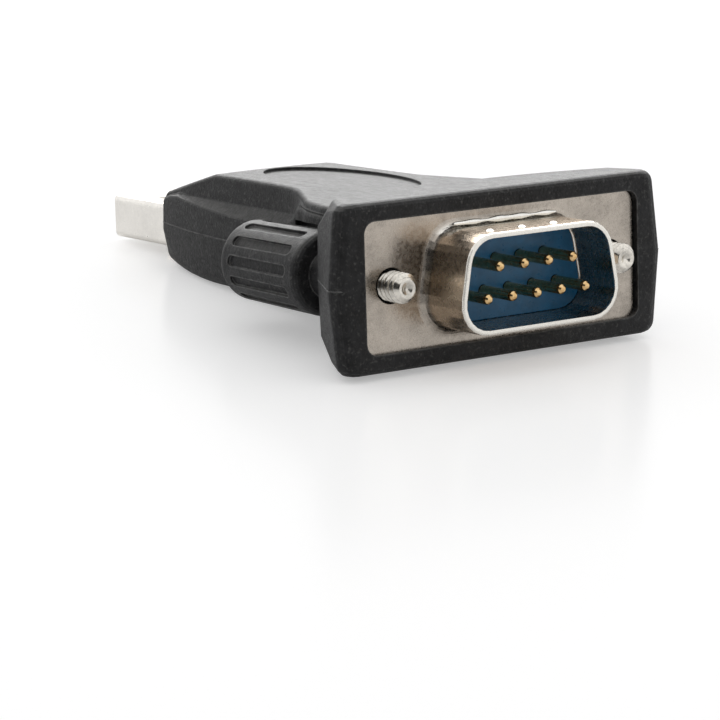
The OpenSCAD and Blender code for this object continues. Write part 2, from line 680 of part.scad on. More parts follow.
// The head: a wide block with a bulge at the parting line and a slope behind its crown
module head_form() {
  r = head_r;
  soft = corner_r - r;
  hull() for (up = [-1, 1]) for (side = [-1, 1]) {
    for (b = [0 : 45 : 90])
      let (x = -frame_lip + r + soft * (1 - cos(b)), dy = soft * (1 - sin(b))) {
        for (a = [0 : 30 : 90])
          translate([x, side * (head_edge_w / 2 - corner_r - dy + soft * cos(a)),
              up * (head_h / 2 - corner_r + soft * sin(a))])
            sphere(r = r, $fn = 16);
        translate([x, side * (head_w / 2 - r - dy), 0]) sphere(r = r, $fn = 16);
      }
    for (s = [0, 0.17, 0.34, 0.51, 0.66, 0.78, 0.88, 0.95]) let (y = s * crown_span)
      translate([crown(y) - r * 0.6, side * y, up * (head_h / 2 - r)])
        sphere(r = r, $fn = 20);
    translate([crown(crown_span) - r, side * crown_span, up * (head_h / 2 - corner_r)])
      sphere(r = r, $fn = 20);
    for (s = [0, 0.17, 0.34, 0.51, 0.66]) let (y = s * crown_span)
      translate([slope_depth - 0.3 - y * y * 0.01, side * y, up * (top_z - 0.3 - y * y * 0.005)])
        sphere(r = 0.3, $fn = 12);
    translate([side_depth - 0.4, side * (head_rear_w / 2 - 0.55), up * 4.9]) sphere(r = 0.4, $fn = 12);
    translate([side_depth - 0.4, side * (head_rear_w / 2 - 0.4), 0]) sphere(r = 0.4, $fn = 12);
  }
}

// Space beside the body in which a knob sits and turns
module knob_space() {
  inner = side_half + 0.1 - pocket_in;
  outer = head_w / 2 + 5;
  pocket_rear = knob_rear - pocket_short;
  translate([side_depth - eps, 0, 0]) rotate([90, 0, 90])
    linear_extrude(height = pocket_rear - side_depth) polygon([
      [inner, -slot_half * 0.8], [screw_y, -slot_half - 0.06], [outer, -slot_half - 0.2],
      [outer, slot_half + 0.2], [screw_y, slot_half + 0.06], [inner, slot_half * 0.8]
    ]);
  notch_front = rear_depth + notch_wall;
  notch_half = neck_d / 2 + notch_room;
  translate([notch_front, screw_y - notch_half, -slot_half])
    cube([side_depth - notch_front + 1, 2 * notch_half - 0.4, 2 * slot_half]);
  translate([0, screw_y, 0]) rod(-2, side_depth, shank_d + 2 * shank_fit);
  translate([0, screw_y, 0]) rod(side_depth, knob_rear + knob_gap, knob_d + 2 * knob_gap);
}

// What is cut away behind the head, beside a shoulder
module head_trim() {
  depth = slope_depth - side_depth + 3;
  from = shoulder_half + 0.15;
  translate([0, 0, -head_h]) linear_extrude(height = 2 * head_h) hull() {
    translate([side_depth + notch_r, from + notch_r]) circle(r = notch_r, $fn = 24);
    translate([side_depth, head_w / 2]) square([depth, 5]);
    translate([side_depth + depth - 1, from]) square([1, 5]);
  }
}

// Sunken oval panel on the top
module oval_panel() {
  x0 = slope_depth + oval_start;
  x1 = break_x - oval_end;
  translate([(x0 + x1) / 2, 0, top_z - oval_depth]) scale([(x1 - x0) / oval_w, 1, 1])
    cylinder(d = oval_w, h = 2, $fn = 96);
}

// What the moulding encloses, each piece with its own small gap
module enclosed() {
  g = cast_gap;
  half_t = board_t / 2 + g;
  slab(-frame_lip - 1, eps) polygon(box_outline(window_w, window_h, flange_r * 0.8));
  slab(0, flange_back) polygon(box_outline(window_w, flange_h + 2 * g, flange_r));
  slab(0, rear_depth + g) polygon(d_grown(rear_w, rear_h, d_out_r + 0.4, g));
  slab(0, insulator_depth + g)
    polygon(d_grown(rear_w - 2 * d_wall, rear_h - 2 * d_wall, d_out_r, g));
  translate([insulator_depth - eps, -2 * pin_pitch - cup_d / 2 - g, -row_gap / 2 - cup_d / 2 - g])
    cube([cup_len + g + eps, 4 * pin_pitch + cup_d + 2 * g, row_gap + cup_d + 2 * g]);
  translate([board_front - g, -board_w / 2 - g, -half_t])
    cube([board_rear - board_front + 2 * g, board_w + 2 * g, 2 * half_t]);
  chip_size = [chip_len, chip_w + 2 * lead_reach, chip_h];
  chip_part(bridge_at, chip_size, true, g);
  chip_part(line_at, chip_size, false, g);
  chip_part(crystal_at, [crystal_wide, crystal_len, crystal_h], true, g);
  for (p = capacitors_top) chip_part(p, [cap_len, cap_w, cap_h], true, g);
  for (p = capacitors_low) chip_part(p, [cap_len, cap_w, cap_h], false, g);
  for (p = resistors_top) chip_part(p, [res_len, res_w, res_h], true, g);
  slab(usb_root - g, hood_len + 1) polygon(box_outline(usb_w + 2 * g, usb_h + 2 * g, usb_r));
  for (i = [1 : 4]) contact_path(i, g);
}

// The moulded hood in one piece
module overmould() {
  color("#232324") difference() {
    union() {
      head_form();
      body_form();
    }
    both_sides() {
      knob_space();
      head_trim();
    }
    oval_panel();
    enclosed();
  }
}

overmould();
plug_shell();
rear_shell();
insulator_front();
insulator_rear();
pin(1);  // pin_1
pin(2);  // pin_2
pin(3);  // pin_3
pin(4);  // pin_4
pin(5);  // pin_5
pin(6);  // pin_6
pin(7);  // pin_7
pin(8);  // pin_8
pin(9);  // pin_9
screw(1);  // screw_left
screw(-1);  // screw_right
knob(1);  // knob_left
knob(-1);  // knob_right
board();
bridge_chip();
line_chip();
crystal();
capacitor(capacitors_top[0], true);  // capacitor_1
capacitor(capacitors_top[1], true);  // capacitor_2
capacitor(capacitors_low[0], false);  // capacitor_3
capacitor(capacitors_low[1], false);  // capacitor_4
capacitor(capacitors_low[2], false);  // capacitor_5
resistor(resistors_top[0]);  // resistor_1
resistor(resistors_top[1]);  // resistor_2
usb_shell();
usb_tongue();
usb_contact(1);  // usb_contact_1
usb_contact(2);  // usb_contact_2
usb_contact(3);  // usb_contact_3
usb_contact(4);  // usb_contact_4
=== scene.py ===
# %% [markdown]
# # Dressing a small adapter
#
# The solids of this adapter come finished from the part's source. This lesson gives them their looks:
# a soft black moulding, nickel plated sheet, a blue insulator, gold pins, threaded screws, and a pale
# studio around them. Everything is in metres, in the frame of the solids: X runs from the D-sub plug
# to the USB plug, Y goes across and Z up. The first cell loads the solids and keeps their box.

# %% Load the solids
import math

import bmesh
import bpy
import numpy as np
from mathutils import Matrix, Vector


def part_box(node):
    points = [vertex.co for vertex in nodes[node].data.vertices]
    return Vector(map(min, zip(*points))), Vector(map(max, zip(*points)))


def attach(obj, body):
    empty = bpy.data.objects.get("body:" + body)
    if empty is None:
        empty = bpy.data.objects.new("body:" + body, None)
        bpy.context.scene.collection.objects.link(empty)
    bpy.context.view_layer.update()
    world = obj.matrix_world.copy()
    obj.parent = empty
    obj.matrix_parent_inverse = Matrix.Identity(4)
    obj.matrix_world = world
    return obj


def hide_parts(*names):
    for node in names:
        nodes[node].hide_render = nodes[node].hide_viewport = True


MM = 0.001
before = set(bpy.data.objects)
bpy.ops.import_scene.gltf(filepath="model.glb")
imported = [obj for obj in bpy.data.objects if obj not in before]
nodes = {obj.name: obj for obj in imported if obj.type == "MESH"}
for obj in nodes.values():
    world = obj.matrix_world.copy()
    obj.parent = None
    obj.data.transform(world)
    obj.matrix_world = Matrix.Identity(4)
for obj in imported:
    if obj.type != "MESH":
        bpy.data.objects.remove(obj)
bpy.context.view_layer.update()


def span(node):
    """The lowest and highest corner of a solid, in millimetres."""
    low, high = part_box(node)
    return np.array(low) / MM, np.array(high) / MM


def vertices_mm(node):
    """The points of a solid's mesh, in millimetres."""
    return np.array([v.co for v in nodes[node].data.vertices], float) / MM


# %% [markdown]
# ## The camera
#
# The photograph is a close view with a long lens, a little above the table. Its place was worked out
# from the plugs, whose sizes are known. A camera could be tracked to an empty, but then its roll stays
# free, so the camera is placed by its three directions: right, up, and back.

# %% Place the camera
CAMERA_AT = Vector((-217.57, 163.89, 41.79)) * MM
LOOK = Vector((0.81371, -0.55277, -0.17977))
RIGHT = Vector((-0.56607, -0.82385, -0.02898))
FOCAL_PX = 3000
PHOTO_PX = 720
SENSOR = 36


def add_thing(name, data):
    """An object in the scene that holds a camera, a mesh or a lamp."""
    thing = bpy.data.objects.new(name, data)
    bpy.context.scene.collection.objects.link(thing)
    return thing


camera_data = bpy.data.cameras.new("camera")
camera_data.sensor_width = SENSOR
camera_data.lens = FOCAL_PX / PHOTO_PX * SENSOR
camera_data.clip_start = 0.01
camera_data.clip_end = 10
camera = add_thing("camera", camera_data)
up = RIGHT.cross(LOOK).normalized()
turn = Matrix((RIGHT, up, -LOOK)).transposed().to_4x4()
camera.matrix_world = Matrix.Translation(CAMERA_AT) @ turn
bpy.context.scene.camera = camera
print("lens:", round(camera_data.lens, 1), "mm, distance to the flange:", round(CAMERA_AT.length, 3), "m")

# %% [markdown]
# ## How the adapter lies
#
# The head is taller than the body, so the adapter doesn't lie level. It rests on the rear edge of the
# head's underside and on the belly near the nose. The solids must not move, so the table is tilted
# instead: the cell looks for the flattest line that touches the head and passes under everything else.

# %% Find the table's tilt
UNDERSIDE_BAND = 0.05
BEHIND_THE_HEEL = 12
TABLE_GAP = 0.02

hood_points = vertices_mm("overmould")
low_points = np.vstack([hood_points, vertices_mm("usb_shell")])
head_bottom = hood_points[hood_points[:, 2] < hood_points[:, 2].min() + UNDERSIDE_BAND]
heel = head_bottom[head_bottom[:, 0].argmax()]
behind = low_points[low_points[:, 0] > heel[0] + BEHIND_THE_HEEL]
slopes = (behind[:, 2] - heel[2]) / (behind[:, 0] - heel[0])
tilt = math.atan(slopes.min())
table_normal = Vector((-math.sin(tilt), 0, math.cos(tilt)))
table_point = Vector((heel[0], 0, heel[2])) * MM - table_normal * TABLE_GAP * MM
print("heel at x", round(heel[0], 2), "mm, tilt", round(math.degrees(tilt), 2), "degrees")

# %% [markdown]
# ## A finish under construction
#
# Every finish here is procedural: it is computed from the place on the piece, with no picture. Object
# space is the solids' own frame, so a pattern's scale is given in millimetres, and it stays on the
# piece in every view. Node trees are long to write by hand, so a small class keeps them readable. It
# holds a material and its shader, adds nodes and links, and gives the shader its values at the end.

# %% Start a finish


class Finish:
    """A material under construction, with its shader and its links."""

    def __init__(self, name):
        self.material = bpy.data.materials.new(name)
        self.material.use_nodes = True
        self.tree = self.material.node_tree
        self.shader = self.tree.nodes["Principled BSDF"]
        coordinates = self.add("ShaderNodeTexCoord")
        self.place = coordinates.outputs["Object"]
        self.own_normal = coordinates.outputs["Normal"]

    def add(self, kind, **settings):
        """A new node of a kind, with some of its settings."""
        node = self.tree.nodes.new(kind)
        for key, value in settings.items():
            setattr(node, key, value)
        return node

    def link(self, a, b):
        """A link from an output to an input."""
        self.tree.links.new(a, b)

    def give(self, socket, value):
        """Link a socket to an output, or set it to a colour or a number."""
        if isinstance(value, bpy.types.NodeSocket):
            self.link(value, socket)
        elif hasattr(value, "__len__"):
            socket.default_value = (*value, 1)
        else:
            socket.default_value = value

    def set(self, **values):
        """Give the shader its values, and hand back the finish."""
        names = {"colour": "Base Color", "metal": "Metallic", "rough": "Roughness",
                 "specular": "Specular IOR Level", "sheen": "Sheen Weight", "normal": "Normal"}
        for key, value in values.items():
            self.give(self.shader.inputs[names[key]], value)
        return self


# %% [markdown]
# ## Patterns
#
# Almost every finish starts from a noise and a colour ramp. A noise gives a number from 0 to 1 at each
# place, and the mapping in front of it sets how many millimetres one blotch measures. The ramp turns the
# number into colours, or into greys where a roughness or a share is wanted. Its two stops lie close
# together for sharp spots and far apart for clouds. Each helper takes a finish, adds its nodes there and
# gives back their output, so that helpers can be put into each other.

# %% Noise and ramp


def noise(f, size_mm, detail=3.0, roughness=0.55, stretch=(1, 1, 1), distortion=0.0):
    """Noise whose features are about size_mm across."""
    mapping = f.add("ShaderNodeMapping")
    mapping.inputs["Scale"].default_value = [s / (size_mm * MM) for s in stretch]
    f.link(f.place, mapping.inputs["Vector"])
    node = f.add("ShaderNodeTexNoise")
    node.inputs["Scale"].default_value = 1.0
    node.inputs["Detail"].default_value = detail
    node.inputs["Roughness"].default_value = roughness
    node.inputs["Distortion"].default_value = distortion
    f.link(mapping.outputs["Vector"], node.inputs["Vector"])
    return node.outputs["Fac"]


def ramp(f, value, stops):
    """Colour ramp; stops are (place, colour) or (place, grey)."""
    node = f.add("ShaderNodeValToRGB")
    for point, (at, colour) in zip(node.color_ramp.elements, stops):
        point.position = at
        point.color = (*colour, 1) if hasattr(colour, "__len__") else (colour,) * 3 + (1,)
    f.link(value, node.inputs["Fac"])
    return node.outputs["Color"]


# %% [markdown]
# ## Sums, mixes and relief
#
# Patterns are combined by arithmetic and by mixing their colours. Relief that is too fine for the mesh,
# such as grain, is a bump: it bends the normals and leaves the outline alone, which nobody misses below
# a tenth of a millimetre. Bumps can be chained, each one taking the normal of the one before.

# %% Arithmetic, mix and bump


def maths(f, kind, a, b=None, clamp=False):
    """One step of arithmetic on one or two values."""
    node = f.add("ShaderNodeMath", operation=kind, use_clamp=clamp)
    for socket, value in zip(node.inputs, (a, b)):
        if value is not None:
            f.give(socket, value)
    return node.outputs["Value"]


def blend(f, share, a, b):
    """Mix of two colours; share, a and b may be an output or a value."""
    node = f.add("ShaderNodeMix", data_type="RGBA")
    for socket, value in ((node.inputs["Factor"], share), (node.inputs[6], a), (node.inputs[7], b)):
        f.give(socket, value)
    return node.outputs[2]


def bump(f, height, depth_mm, before=None):
    """Shallow relief of a depth, on top of another normal if one is given."""
    node = f.add("ShaderNodeBump")
    node.inputs["Strength"].default_value = 1.0
    node.inputs["Distance"].default_value = depth_mm * MM
    f.link(height, node.inputs["Height"])
    if before is not None:
        f.link(before, node.inputs["Normal"])
    return node.outputs["Normal"]


# %% [markdown]
# ## Edges and tops
#
# A moulding has no sharp edges, and its edges are the first to be rubbed. Both come from the Bevel node,
# which runs the normals round each edge and leaves the mesh alone. Where its normal turns away from the
# face's own, there is an edge, which the moulding paints lighter, for rubbing and as a painted highlight.
# The piece's own normal tells what faces up, where it paints a grey film, for dust and as painted light.

# %% Edges, tops and smooth shading


def soft_edges(f, radius_mm):
    """Normals that run round each edge, as a moulding's do."""
    node = f.add("ShaderNodeBevel", samples=6)
    node.inputs["Radius"].default_value = radius_mm * MM
    return node.outputs["Normal"]


def edge_highlight_and_wear(f, radius_mm):
    """1 on edges, 0 on open faces; the lighter colour painted there is wear and painted highlight."""
    flat = f.add("ShaderNodeNewGeometry").outputs["Normal"]
    dot = f.add("ShaderNodeVectorMath", operation="DOT_PRODUCT")
    f.link(soft_edges(f, radius_mm), dot.inputs[0])
    f.link(flat, dot.inputs[1])
    return maths(f, "MULTIPLY", maths(f, "SUBTRACT", 1.0, dot.outputs["Value"]), 4.0, clamp=True)


def facing_up(f):
    """1 where the piece's own surface faces up, 0 on walls and below."""
    across = f.add("ShaderNodeSeparateXYZ")
    f.link(f.own_normal, across.inputs["Vector"])
    spread = f.add("ShaderNodeMapRange")
    spread.inputs["From Min"].default_value = 0.35
    spread.inputs["From Max"].default_value = 0.9
    f.link(across.outputs["Z"], spread.inputs["Value"])
    return spread.outputs["Result"]


def dress(thing, material, smooth_deg=30):
    """Give a solid or a piece its finish, and smooth shading where its faces meet at a low angle."""
    mesh = nodes[thing].data if isinstance(thing, str) else thing.data
    mesh.materials.clear()
    mesh.materials.append(material)
    mesh.shade_smooth()
    mesh.set_sharp_from_angle(angle=math.radians(smooth_deg))


# %% [markdown]
# ## The moulding
#
# The hood is a soft black compound with a very fine matt grain. From low angles its top looks grey,
# because a matt black still reflects a lamp behind it at a grazing view. That sheen is not painted: it
# comes from a dielectric shader with a middling roughness. Its specular level is low, so that the faces
# turned to the viewer stay black. Painted on it are dust specks, scuffs, a grey film on the faces that
# face up, for dust and as painted light from above, and lighter edges, for rubbing and as a painted
# highlight.

# %% Hood finish
# Grey on the faces that face up: dust, and painted light from above.
DUST_AND_TOP_LIGHT_GREY = (0.20, 0.197, 0.19)
DUST_SPECK = (0.11, 0.108, 0.103)
# Grey on the edges: rubbing, and a painted highlight.
RUBBED_AND_HIGHLIGHT_GREY = (0.26, 0.26, 0.255)


def moulding(name, base, rough, rub_and_highlight_share, dust_and_top_light):
    """Black compound; the last share but one is how far edges go grey, for rubbing and as a painted
    highlight, and the last how far the tops go grey, for a dusty layer and as painted light from above;
    the last also sets the specks.
    """
    f = Finish(name)
    cloud = noise(f, 6.0, 4.0, 0.6)
    patches = noise(f, 0.8, 5.0, 0.75)
    blotch = maths(f, "ADD", maths(f, "MULTIPLY", cloud, 0.4), maths(f, "MULTIPLY", patches, 0.6))
    tone = ramp(f, blotch, [(0.38, [c * 0.5 for c in base]), (0.62, [c * 1.9 for c in base])])
    dust_and_light_patches = ramp(f, noise(f, 0.9, 5.0, 0.7), [(0.35, 0.3), (0.65, dust_and_top_light)])
    # Grey on the faces that face up: dust, and painted light from above.
    tone = blend(f, maths(f, "MULTIPLY", dust_and_light_patches, facing_up(f)), tone, DUST_AND_TOP_LIGHT_GREY)
    speck = ramp(f, noise(f, 0.34, 3.0, 0.6), [(0.56, 0.0), (0.72, dust_and_top_light)])
    tone = blend(f, speck, tone, DUST_SPECK)
    rub_and_highlight_patches = ramp(f, noise(f, 0.8, 4.0, 0.7), [(0.35, 0.2), (0.6, rub_and_highlight_share)])
    # Grey on the edges: rubbing, and a painted highlight.
    colour = blend(f, maths(f, "MULTIPLY", edge_highlight_and_wear(f, 0.26), rub_and_highlight_patches), tone, RUBBED_AND_HIGHLIGHT_GREY)
    grain = noise(f, 0.30, 4.0, 0.7)
    wave = noise(f, 3.2, 2.0, 0.5)
    scuff = noise(f, 0.5, 5.0, 0.7, stretch=(0.35, 1, 1), distortion=0.6)
    normal = bump(f, grain, 0.09, soft_edges(f, 0.16))
    normal = bump(f, wave, 0.02, normal)
    roughness = ramp(f, scuff, [(0.3, rough - 0.07), (0.7, rough + 0.10)])
    return f.set(colour=colour, rough=roughness, normal=normal, specular=0.21, sheen=0.03).material


hood_finish = moulding("hood_moulding", (0.012, 0.012, 0.0125), 0.45, 0.7, 0.5)
knob_finish = moulding("knob_moulding", (0.017, 0.017, 0.0178), 0.48, 0.9, 0.6)
dress("overmould", hood_finish)
for side in ("left", "right"):
    dress("knob_" + side, knob_finish)
print("moulding on the hood and both knobs")

# %% [markdown]
# ## Making a piece
#
# A few pieces are too fine for the solids: a thread, a bead, a dimple. All of them are tubes or domes,
# so one helper joins rows of points by quads and closes each row to a ring. A row whose points are all
# the same closes an end. A second helper stands the mesh in the scene, and says which body it rides on.

# %% Mesh helpers
SAME_POINT = 1e-7


def grid_mesh(name, rows):
    """A mesh in metres whose rings of points, in millimetres, are joined by quads."""
    count = len(rows[0])
    faces = []
    for j in range(len(rows) - 1):
        for i in range(count):
            k = (i + 1) % count
            faces.append((j * count + i, j * count + k, (j + 1) * count + k, (j + 1) * count + i))
    mesh = bpy.data.meshes.new(name)
    mesh.from_pydata([tuple(c * MM for c in p) for row in rows for p in row], [], faces)
    builder = bmesh.new()
    builder.from_mesh(mesh)
    bmesh.ops.remove_doubles(builder, verts=builder.verts[:], dist=SAME_POINT)
    bmesh.ops.dissolve_degenerate(builder, edges=builder.edges[:], dist=SAME_POINT)
    bmesh.ops.recalc_face_normals(builder, faces=builder.faces[:])
    builder.to_mesh(mesh)
    builder.free()
    mesh.update()
    return mesh


def piece(name, rows, body):
    """A shown piece in the solids' frame, which rides on a body."""
    thing = add_thing(name, grid_mesh(name, rows))
    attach(thing, body)
    return thing


def around(count):
    """Angles once around, without the last, which is the first again."""
    return np.linspace(0, 2 * math.pi, count, endpoint=False)


# %% [markdown]
# ## The parting line's course
#
# The hood was moulded in two halves, and a fine ridge of flash runs round it where they met. The line
# is not level: it climbs a little along the body and more towards the nose. Only the open flanks show
# it, so the cuts through the cavities inside the hood have to be told apart from those outside.

# %% Where the parting line runs
LINE_HEIGHT = 0.1
BODY_CLIMB, BODY_LENGTH = 0.15, 30
NOSE_CLIMB, NOSE_START, NOSE_LENGTH = 0.45, 34, 14
HEAD_FLANK = 14.4
HEAD_CORNER = 15.6
NOTCH_END = 6.9
FRAME_FRONT = -0.45
BODY_FLANK = 6.8
BODY_START = 21.6


def parting_height(x):
    """Height of the parting line above the plugs' axis, in millimetres; it rises towards the nose."""
    body = BODY_CLIMB * min(max(x / BODY_LENGTH, 0), 1)
    return LINE_HEIGHT + body + NOSE_CLIMB * max((x - NOSE_START) / NOSE_LENGTH, 0) ** 1.5


def on_outside(x, y):
    """True where the cut runs along an open face, not along a cavity."""
    head_side = abs(y) > HEAD_FLANK and x > FRAME_FRONT and (abs(y) > HEAD_CORNER or x > NOTCH_END)
    flank = abs(y) > BODY_FLANK and x > BODY_START
    return head_side or flank


# %% [markdown]
# ## Cutting along the line
#
# The ridge could be a bump, but it also catches light at the outline, so it is a real one. Its path is
# cut from a copy of the hood. A plane can cut it only straight, so the copy is first sheared down by the
# line's height, which makes the line level, and then cut at zero. The edges of the cut are walked from
# end to end, each walk being one run of points.

# %% Cut the hood


def cut_runs(mesh):
    """The cut through a mesh at the parting line, as runs of points in millimetres."""
    work = bmesh.new()
    work.from_mesh(mesh)
    for vert in work.verts:
        vert.co.z -= parting_height(vert.co.x / MM) * MM
    everything = work.verts[:] + work.edges[:] + work.faces[:]
    cut = bmesh.ops.bisect_plane(work, geom=everything, plane_co=(0, 0, 0), plane_no=(0, 0, 1))
    edges = [e for e in cut["geom_cut"] if isinstance(e, bmesh.types.BMEdge)]
    next_to = {}
    for edge in edges:
        ends = [tuple(round(c / MM, 3) for c in v.co[:2]) for v in edge.verts]
        middle_x, middle_y = (ends[0][0] + ends[1][0]) / 2, (ends[0][1] + ends[1][1]) / 2
        if ends[0] != ends[1] and on_outside(middle_x, middle_y):
            next_to.setdefault(ends[0], set()).add(ends[1])
            next_to.setdefault(ends[1], set()).add(ends[0])
    work.free()
    runs = []
    while next_to:
        start = min(next_to, key=lambda p: (len(next_to[p]), p))
        run = [start]
        while next_to.get(run[-1]):
            after = next_to[run[-1]].pop()
            next_to[after].discard(run[-1])
            run.append(after)
        for point in run:
            if not next_to.get(point):
                next_to.pop(point, None)
        if len(run) > 1:
            runs.append(run)
    return runs


runs = cut_runs(nodes["overmould"].data)
print("runs of the cut:", [len(run) for run in runs])

# %% [markdown]
# ## The ridge
#
# A curve object with a bevel would give a round bead, but half of it would hang over each end. Each run
# gets its own rings instead: low and rounded outside, cut short inside, and sunk into the moulding at
# both ends, so that the ridge grows out of the surface.

# %% Ridge along the parting line
RIDGE_WIDTH = 0.17
RIDGE_HEIGHT = 0.035
RIDGE_SINK = 0.03
RIDGE_BACK = -0.5


def ridge(name, run):
    """A low rounded bead along a run of points; its ends sink into the moulding."""
    points = np.array(run)
    along = np.gradient(points, axis=0)
    along /= np.linalg.norm(along, axis=1)[:, None]
    out = np.stack([-along[:, 1], along[:, 0]], axis=1)
    if (out[:, 1] * points[:, 1]).sum() < 0:
        out = -out
    rows = []
    for i, ((x, y), (out_x, out_y)) in enumerate(zip(points, out)):
        rise = RIDGE_SINK + RIDGE_HEIGHT * (0 < i < len(points) - 1)
        row = []
        for angle in around(12):
            away = rise * max(math.sin(angle), RIDGE_BACK) - RIDGE_SINK
            height = parting_height(x) + RIDGE_WIDTH / 2 * math.cos(angle)
            row.append((x + out_x * away, y + out_y * away, height))
        rows.append(row)
    for row in (rows[0], rows[-1]):
        row[:] = [tuple(np.mean(row, axis=0))] * len(row)
    return piece(name, rows, "adapter")


for i, run in enumerate(runs):
    bead = ridge(f"parting_line_{i + 1}", run)
    dress(bead, hood_finish, 60)
    print(bead.name, "from", run[0], "to", run[-1])

# %% [markdown]
# ## Plated sheet
#
# Nickel on drawn sheet is never a clean mirror. It is warm and slightly cloudy, with small stains and
# the orange peel of the drawing. A metal shader with a cloudy roughness gives the haze, and two
# shallow bumps give the wavy reflections. Some places on a sheet have another colour than the rest, so
# the finish takes a list of places, and each of them is a function that is 1 there and 0 elsewhere.

# %% Nickel


def nickel(name, base, rough, cloud_depth, peel_depth, stain, places=(), crease=None):
    """Plated sheet; places lists where it has another colour, and crease is where it is wrinkled."""
    f = Finish(name)
    cloud = noise(f, 3.5, 4.0, 0.6)
    spots = noise(f, 0.45, 3.0, 0.65)
    dark = [c * (1 - stain) for c in base]
    tone = ramp(f, maths(f, "ADD", maths(f, "MULTIPLY", cloud, 0.6), maths(f, "MULTIPLY", spots, 0.4)),
                  [(0.38, dark), (0.58, base)])
    for place, colour in places:
        tone = blend(f, place(f), tone, colour)
    roughness = ramp(f, spots, [(0.3, rough - 0.05), (0.75, rough + 0.10)])
    normal = bump(f, noise(f, 2.6, 2.0, 0.5), cloud_depth, soft_edges(f, 0.07))
    normal = bump(f, noise(f, 0.35, 2.0, 0.6), peel_depth, normal)
    if crease is not None:
        wrinkle = maths(f, "SUBTRACT", noise(f, 1.0, 2.0, 0.5, stretch=(1, 0.5, 1), distortion=0.5), 0.5)
        normal = bump(f, maths(f, "MULTIPLY", crease(f), wrinkle), 0.22, normal)
    return f.set(colour=tone, metal=1.0, rough=roughness, normal=normal).material


# %% [markdown]
# ## Places on the sheet
#
# Drawing the D stretches the sheet. Its flare above the D and its cut rim are painted brighter, as
# painted highlights, and the plating on the outside of the drawn wall is thinner and looks warmer.
# Painting masks by hand would need pictures; these places lie between known distances, so a soft step
# along each axis is enough.

# %% Flare, rim, wall and edges


def within(f, axis, low_mm, high_mm, soft_mm):
    """1 between two places along an axis, in millimetres, with soft ends."""
    across = f.add("ShaderNodeSeparateXYZ")
    f.link(f.place, across.inputs["Vector"])
    half, middle = (high_mm - low_mm) / 2, (high_mm + low_mm) / 2
    away = maths(f, "ABSOLUTE", maths(f, "SUBTRACT", across.outputs[axis], middle * MM))
    spread = f.add("ShaderNodeMapRange", interpolation_type="SMOOTHSTEP")
    spread.inputs["From Min"].default_value = (half + soft_mm) * MM
    spread.inputs["From Max"].default_value = half * MM
    f.link(away, spread.inputs["Value"])
    return spread.outputs["Result"]


def flare(f):
    """1 on the flare above the D, where the sheet is drawn hardest."""
    along = within(f, "X", -1.5, -0.25, 0.25)
    upward = within(f, "Z", 4.3, 6.0, 0.4)
    return maths(f, "MULTIPLY", maths(f, "MULTIPLY", along, upward), within(f, "Y", -5.0, 7.0, 1.0))


def rim(f):
    """1 on the cut rim of the D."""
    return within(f, "X", -6.1, -5.75, 0.1)


def drawn_wall(f):
    """1 outside on the D's drawn wall, whose plating is thinner and warmer."""
    across = f.add("ShaderNodeVectorMath", operation="MULTIPLY")
    f.link(f.place, across.inputs[0])
    across.inputs[1].default_value = (0, 1, 1)
    outward = f.add("ShaderNodeVectorMath", operation="DOT_PRODUCT")
    f.link(across.outputs["Vector"], outward.inputs[0])
    f.link(f.own_normal, outward.inputs[1])
    outside = maths(f, "GREATER_THAN", outward.outputs["Value"], 0.0)
    return maths(f, "MULTIPLY", outside, within(f, "X", -5.6, -1.0, 0.4))


def worn_edges(f):
    """1 on a thread's crests, which every turn polishes."""
    return edge_highlight_and_wear(f, 0.2)


# %% [markdown]
# ## Which piece gets which nickel
#
# The flanged sheet is the darkest and most stained, the USB plug's shell is new and even, and a screw is
# bright on its crests only. The crystal's can is drawn steel and has the plainest finish.

# %% Nickel finishes
HIGHLIGHT_AND_POLISH_NICKEL = (0.84, 0.81, 0.75)
WARM = (0.70, 0.58, 0.46)

# The flare and the rim get a brighter nickel: painted highlights.
sheet_finish = nickel("nickel_sheet", (0.48, 0.43, 0.375), 0.26, 0.03, 0.004, 0.35,
                      places=((drawn_wall, WARM), (flare, HIGHLIGHT_AND_POLISH_NICKEL), (rim, HIGHLIGHT_AND_POLISH_NICKEL)), crease=flare)
usb_finish = nickel("nickel_usb_shell", (0.92, 0.89, 0.84), 0.20, 0.02, 0.002, 0.10)
screw_finish = nickel("nickel_screw", (0.82, 0.78, 0.71), 0.17, 0.0, 0.006, 0.5,
                      places=((worn_edges, HIGHLIGHT_AND_POLISH_NICKEL),))
# A lighter copy of the sheet's nickel for the dimples, the fold and the corner line: a painted highlight.
painted_highlight_nickel_finish = nickel("nickel_painted_highlight", (0.94, 0.92, 0.87), 0.20, 0.05, 0.012, 0.12)
can_finish = nickel("drawn_can", (0.70, 0.70, 0.70), 0.30, 0.01, 0.003, 0.12)
plated = {"plug_shell": sheet_finish, "rear_shell": sheet_finish, "usb_shell": usb_finish,
          "crystal": can_finish}
for name, finish in plated.items():
    dress(name, finish)
print("nickel on", ", ".join(plated))

# %% [markdown]
# ## Rolled threads
#
# In the solids the threaded ends are plain cylinders of the crest's diameter. A real thread is one
# helical groove, so its radius is a function of the place along the axis and of the angle around it.
# Rings of points with that radius are simpler and cleaner than a screw modifier with its end caps, and
# they let the thread fade out where the shank begins. The crest's diameter and the ends come from the
# solid that the piece stands for. A screw's end has a small hollow, left by the rolling.

# %% Threaded screws
THREAD_PITCH = 0.635
THREAD_DEPTH = 0.37
THREAD_END = 0.55
CREST_SHARE = 0.15
FLANK_SHARE = 0.30
FADE_LENGTH = 0.4
RINGS_PER_TURN = 14
SHANK_RADIUS = 1.2
TIP_INSET = 0.5
HOLLOW_DEPTH = 0.3
HOLLOW_PROFILE = ((0.24, 0.22), (0.05, 0.50), (0.0, 0.60), (0.0, 0.82))


